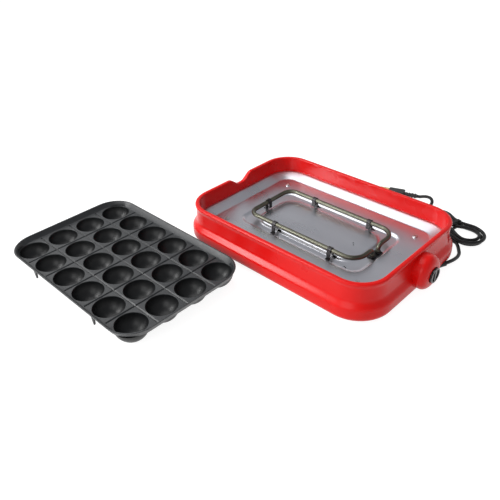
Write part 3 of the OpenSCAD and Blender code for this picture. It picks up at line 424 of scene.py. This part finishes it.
def make_plate():
    """The casting: a deck with its sloping rim and tabs, V grooves, and round cups."""
    bm = bmesh.new()
    (hl, hw), r = DECK_HALF, DECK_R
    foot = FLARE * DECK_T / (PLATE_RIM_H + DECK_T)
    rim = [(-30, 0.0), (-PLATE_RIM_T + foot - 1.2, 0.0), (-PLATE_RIM_T + foot - 0.3, 0.35),
           (FLARE - PLATE_RIM_T, PLATE_RIM_H - 0.5), (FLARE - PLATE_RIM_T + 0.5, PLATE_RIM_H),
           (FLARE - 0.4, PLATE_RIM_H), (FLARE, PLATE_RIM_H - 0.4), (0.2, -DECK_T + 0.6), (-0.5, -DECK_T),
           (-30, -DECK_T)]
    loft(bm, [ring(hl + u, hw + u, r + u, z, left=2, right=2, long=2) for u, z in rim], caps=True)
    deck = link("plate_casting", mesh_from("plate_casting", bm))
    deck.location = Vector(PLATE_AT) * MM

    bm = bmesh.new()
    for x, y in CUP_PLACES:
        bmesh.ops.create_cone(bm, segments=CUP_SIDES, radius1=(CUP_R + MOUTH_ROUND) * MM,
                              radius2=(CUP_R + MOUTH_ROUND) * MM, depth=12 * MM, cap_ends=True,
                              matrix=Matrix.Translation(Vector((x, y, 0)) * MM))
    holes = link("holes", mesh_from("holes", bm))
    grooves = []
    for along, count, reach in ((0, 5, 2 * DECK_HALF[1] - 2 * GROOVE_W),
                                (1, 3, 2 * DECK_HALF[0] - 2 * GROOVE_W)):
        bm = bmesh.new()
        for k in range(count):
            at = (k - (count - 1) / 2) * CUP_PITCH
            line = [(-GROOVE_W / 2, 0), (0, -GROOVE_D), (GROOVE_W / 2, 0),
                    (GROOVE_W / 2, 1), (-GROOVE_W / 2, 1)]
            ends = [[(at + u, end, z) if along == 0 else (end, at + u, z) for u, z in line]
                    for end in (-reach / 2, reach / 2)]
            loft(bm, ends, caps=True)
        grooves.append(link("grooves", mesh_from("grooves", bm)))
    for cutter in [holes] + grooves:
        cutter.location = deck.location
    carve(deck, [holes] + grooves)

    bm = bmesh.new()
    bm.from_mesh(deck.data)
    for x, y in CUP_PLACES:
        loft(bm, [[(x + rad * math.cos(a), y + rad * math.sin(a), z) for a in full_turn(CUP_SIDES)]
                  for rad, z in cup_profile()])
    for x in (-TAB_X, TAB_X):
        for y in (-TAB_Y, TAB_Y):
            line = [(-TAB_HALF, TAB_TOP_Z), (-TAB_TIP, -TAB_H), (TAB_TIP, -TAB_H), (TAB_HALF, TAB_TOP_Z)]
            loft(bm, [[(x + u, y + v, z) for u, z in line] for v in (-TAB_T / 2, TAB_T / 2)], caps=True)
    bmesh.ops.translate(bm, verts=bm.verts, vec=deck.location)
    deck.location = (0, 0, 0)
    deck.data = mesh_from("plate_casting", bm)
    for part in frame["record"]["behaviour"]["bodies"]["plate"]:
        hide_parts(part)
    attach(deck, "plate")
    return deck


casing_shell = make_casing()
tray_sheet = make_tray()
plate_casting = make_plate()


# ---------- studio ----------

def area_lamp(name, place, target, size, power):
    """A softbox at a place, facing a target, in metres."""
    data = bpy.data.lights.new(name, "AREA")
    data.shape = "RECTANGLE"
    data.size, data.size_y = size
    data.energy = power
    lamp = bpy.data.objects.new(name, data)
    lamp.location = place
    lamp.rotation_euler = (Vector(target) - Vector(place)).to_track_quat("-Z", "Y").to_euler()
    bpy.context.collection.objects.link(lamp)


area_lamp("lamp_left", (-1.05, -1.35, 0.85), (-0.1, -0.15, 0), (0.45, 0.9), 22)
area_lamp("lamp_top", (-0.95, -0.1, 1.35), (0, 0, 0), (1.2, 1.6), 14)
area_lamp("lamp_front", (0.3, -1.6, 1.0), (0, -0.1, 0), (1.0, 1.0), 8)


def seen_rays(tree):
    """A factor that is 1 for rays that show the background: the camera's, mirrored and refracted ones."""
    rays = tree.nodes.new("ShaderNodeLightPath")
    both = tree.nodes.new("ShaderNodeMath")
    both.operation = "MAXIMUM"
    tree.links.new(rays.outputs["Is Camera Ray"], both.inputs[0])
    tree.links.new(rays.outputs["Is Glossy Ray"], both.inputs[1])
    every = tree.nodes.new("ShaderNodeMath")
    every.operation = "MAXIMUM"
    tree.links.new(both.outputs[0], every.inputs[0])
    tree.links.new(rays.outputs["Is Transmission Ray"], every.inputs[1])
    return every.outputs[0]


def make_world():
    world = bpy.data.worlds.new("studio")
    world.use_nodes = True
    bpy.context.scene.world = world
    tree = world.node_tree
    tree.nodes.clear()
    out = tree.nodes.new("ShaderNodeOutputWorld")
    light = tree.nodes.new("ShaderNodeBackground")
    light.inputs["Color"].default_value = (1, 1, 1, 1)
    light.inputs["Strength"].default_value = 0.42
    shown = tree.nodes.new("ShaderNodeBackground")
    shown.inputs["Strength"].default_value = 1
    # the studio is white round the horizon and grey overhead
    place = tree.nodes.new("ShaderNodeTexCoord")
    split = tree.nodes.new("ShaderNodeSeparateXYZ")
    tree.links.new(place.outputs["Generated"], split.inputs[0])
    ramp = tree.nodes.new("ShaderNodeValToRGB")
    ramp.color_ramp.elements[0].position = 0.25
    ramp.color_ramp.elements[0].color = (1, 1, 1, 1)
    ramp.color_ramp.elements[1].position = 0.55
    ramp.color_ramp.elements[1].color = (0.32, 0.33, 0.35, 1)
    tree.links.new(split.outputs["Z"], ramp.inputs[0])
    tree.links.new(ramp.outputs["Color"], shown.inputs["Color"])
    mix = tree.nodes.new("ShaderNodeMixShader")
    tree.links.new(seen_rays(tree), mix.inputs[0])
    tree.links.new(light.outputs[0], mix.inputs[1])
    tree.links.new(shown.outputs[0], mix.inputs[2])
    tree.links.new(mix.outputs[0], out.inputs["Surface"])


def make_floor():
    bm = bmesh.new()
    bmesh.ops.create_grid(bm, x_segments=1, y_segments=1, size=12)
    floor = link("floor", mesh_from("floor", bm))
    material = bpy.data.materials.new("floor_white")
    material.use_nodes = True
    tree = material.node_tree
    tree.nodes.clear()
    out = tree.nodes.new("ShaderNodeOutputMaterial")
    diffuse = tree.nodes.new("ShaderNodeBsdfDiffuse")
    diffuse.inputs["Color"].default_value = (0.8, 0.8, 0.8, 1)
    lit = tree.nodes.new("ShaderNodeBsdfDiffuse")
    lit.inputs["Color"].default_value = (0.32, 0.32, 0.32, 1)
    glow = tree.nodes.new("ShaderNodeEmission")
    glow.inputs["Strength"].default_value = 0.9
    shown = tree.nodes.new("ShaderNodeAddShader")
    tree.links.new(lit.outputs[0], shown.inputs[0])
    tree.links.new(glow.outputs[0], shown.inputs[1])
    mix = tree.nodes.new("ShaderNodeMixShader")
    tree.links.new(seen_rays(tree), mix.inputs[0])
    tree.links.new(diffuse.outputs[0], mix.inputs[1])
    tree.links.new(shown.outputs[0], mix.inputs[2])
    tree.links.new(mix.outputs[0], out.inputs["Surface"])
    floor.data.materials.append(material)


make_world()
make_floor()
bpy.context.scene.view_settings.view_transform = "Standard"


# ---------- finishes ----------

def finish(name, color, roughness, metallic=0.0, mottle=(60, 0.06), spread=0.06, grain=(900, 0.00002),
           stretch=(1, 1, 1), **sockets):
    """A procedural finish: mottle is the scale and amount of its colour variation, spread is how much
    its roughness varies, grain is the scale and depth in metres of its relief, and stretch scales
    the pattern along X, Y and Z."""
    material = bpy.data.materials.new(name)
    material.use_nodes = True
    tree = material.node_tree
    shader = tree.nodes["Principled BSDF"]
    shader.inputs["Metallic"].default_value = metallic
    for socket, value in sockets.items():
        shader.inputs[socket.replace("_", " ")].default_value = value

    place = tree.nodes.new("ShaderNodeTexCoord")
    scaled = tree.nodes.new("ShaderNodeMapping")
    scaled.inputs["Scale"].default_value = stretch
    tree.links.new(place.outputs["Object"], scaled.inputs["Vector"])

    cloud = tree.nodes.new("ShaderNodeTexNoise")
    cloud.inputs["Scale"].default_value = mottle[0]
    cloud.inputs["Detail"].default_value = 4
    tree.links.new(scaled.outputs[0], cloud.inputs["Vector"])
    tint = tree.nodes.new("ShaderNodeValToRGB")
    for element, factor in zip(tint.color_ramp.elements, (1 - mottle[1], 1 + mottle[1])):
        element.color = (*(min(1, c * factor) for c in color), 1)
    tint.color_ramp.elements[0].position, tint.color_ramp.elements[1].position = 0.3, 0.7
    tree.links.new(cloud.outputs[0], tint.inputs[0])
    tree.links.new(tint.outputs["Color"], shader.inputs["Base Color"])

    dull = tree.nodes.new("ShaderNodeMapRange")
    dull.inputs["From Min"].default_value, dull.inputs["From Max"].default_value = 0.3, 0.7
    dull.inputs["To Min"].default_value = max(0.03, roughness - spread)
    dull.inputs["To Max"].default_value = min(1, roughness + spread)
    tree.links.new(cloud.outputs[0], dull.inputs["Value"])
    tree.links.new(dull.outputs[0], shader.inputs["Roughness"])

    fine = tree.nodes.new("ShaderNodeTexNoise")
    fine.inputs["Scale"].default_value = grain[0]
    fine.inputs["Detail"].default_value = 3
    tree.links.new(scaled.outputs[0], fine.inputs["Vector"])
    bump = tree.nodes.new("ShaderNodeBump")
    bump.inputs["Strength"].default_value = 1
    bump.inputs["Distance"].default_value = grain[1]
    tree.links.new(fine.outputs[0], bump.inputs["Height"])
    tree.links.new(bump.outputs[0], shader.inputs["Normal"])
    return material


def nonstick():
    """The plate's coating: dark grey on the deck, with painted shade that turns it black down in the cups.
    """
    material = finish("nonstick_coating_and_cup_shade", (0.016, 0.018, 0.02), 0.42, mottle=(140, 0.12), spread=0.05,
                      grain=(1500, 0.00004), Specular_IOR_Level=0.45)
    tree = material.node_tree
    shader = tree.nodes["Principled BSDF"]
    place = tree.nodes.new("ShaderNodeTexCoord")
    split = tree.nodes.new("ShaderNodeSeparateXYZ")
    tree.links.new(place.outputs["Object"], split.inputs[0])
    # painted shade: below the deck's top (from about 0.3 mm to 1.4 mm down) the coating fades to near black,
    # in the cups, grooves and under the deck
    depth = tree.nodes.new("ShaderNodeMapRange")
    depth.inputs["From Min"].default_value = 0.0205
    depth.inputs["From Max"].default_value = 0.0216
    tree.links.new(split.outputs["Z"], depth.inputs["Value"])
    tint = shader.inputs["Base Color"].links[0].from_socket
    mix = tree.nodes.new("ShaderNodeMix")
    mix.data_type = "RGBA"
    # the near-black of the painted shade in the cups
    mix.inputs[6].default_value = (0.003, 0.0035, 0.004, 1)
    tree.links.new(depth.outputs[0], mix.inputs[0])
    tree.links.new(tint, mix.inputs[7])
    tree.links.new(mix.outputs[2], shader.inputs["Base Color"])
    return material


FINISHES = {
    "casing_red": finish("red_gloss", (0.66, 0.004, 0.003), 0.26, mottle=(9, 0.05), spread=0.04,
                         grain=(260, 0.00003), Specular_IOR_Level=0.25),
    "base_black": finish("black_moulded", (0.025, 0.025, 0.026), 0.55, mottle=(30, 0.1),
                         grain=(1600, 0.00006)),
    "rubber_black": finish("foot_rubber", (0.02, 0.02, 0.02), 0.8, mottle=(80, 0.15),
                           grain=(1400, 0.00004)),
    "screw_steel": finish("screw_steel", (0.62, 0.61, 0.6), 0.28, 1, mottle=(400, 0.08),
                          grain=(1800, 0.00002)),
    "tray_aluminium": finish("pressed_aluminium", (0.62, 0.62, 0.66), 0.3, 1, mottle=(26, 0.04), spread=0.05,
                             grain=(420, 0.00001), stretch=(0.25, 1, 1)),
    "tube_steel": finish("oxidised_tube", (0.11, 0.11, 0.085), 0.36, 1, mottle=(60, 0.18),
                         grain=(900, 0.00002)),
    "clip_steel": finish("dark_clip", (0.05, 0.048, 0.048), 0.4, 1, mottle=(200, 0.2),
                         grain=(900, 0.00002)),
    "insulator_ceramic": finish("ceramic", (0.82, 0.8, 0.74), 0.6, mottle=(200, 0.04),
                                grain=(1500, 0.00003)),
    "terminal_brass": finish("brass", (0.72, 0.55, 0.26), 0.3, 1, mottle=(150, 0.06),
                             grain=(1200, 0.00001)),
    "shield_aluminium": finish("shield_sheet", (0.72, 0.72, 0.74), 0.35, 1, mottle=(20, 0.04),
                               grain=(400, 0.00002), stretch=(0.2, 1, 1)),
    "wire_sleeve": finish("woven_sleeve", (0.42, 0.4, 0.37), 0.75, mottle=(900, 0.12),
                          grain=(2400, 0.00008)),
    "clamp_plastic": finish("clamp_nylon", (0.72, 0.7, 0.6), 0.45, mottle=(60, 0.04), grain=(900, 0.00003)),
    "cord_black": finish("cord_pvc", (0.004, 0.004, 0.0045), 0.45, mottle=(120, 0.15),
                         grain=(1300, 0.00004),
                         Specular_IOR_Level=0.3),
    "plug_black": finish("plug_pvc", (0.013, 0.013, 0.014), 0.45, mottle=(120, 0.12),
                         grain=(1500, 0.00005)),
    # the faint red in the knob's black is a painted reflection of the red casing round it
    "knob_black": finish("knob_gloss", (0.012, 0.008, 0.008), 0.18, mottle=(120, 0.1),
                         grain=(500, 0.00001)),
    "plate_coating": nonstick(),
}


def paint(piece, slot):
    piece.data.materials.clear()
    piece.data.materials.append(FINISHES[slot])


for part in frame["record"]["subparts"]:
    paint(nodes[part["node"]], part["material_slot"])
paint(mains_cord, "cord_black")
paint(casing_shell, "casing_red")
paint(tray_sheet, "tray_aluminium")
paint(plate_casting, "plate_coating")
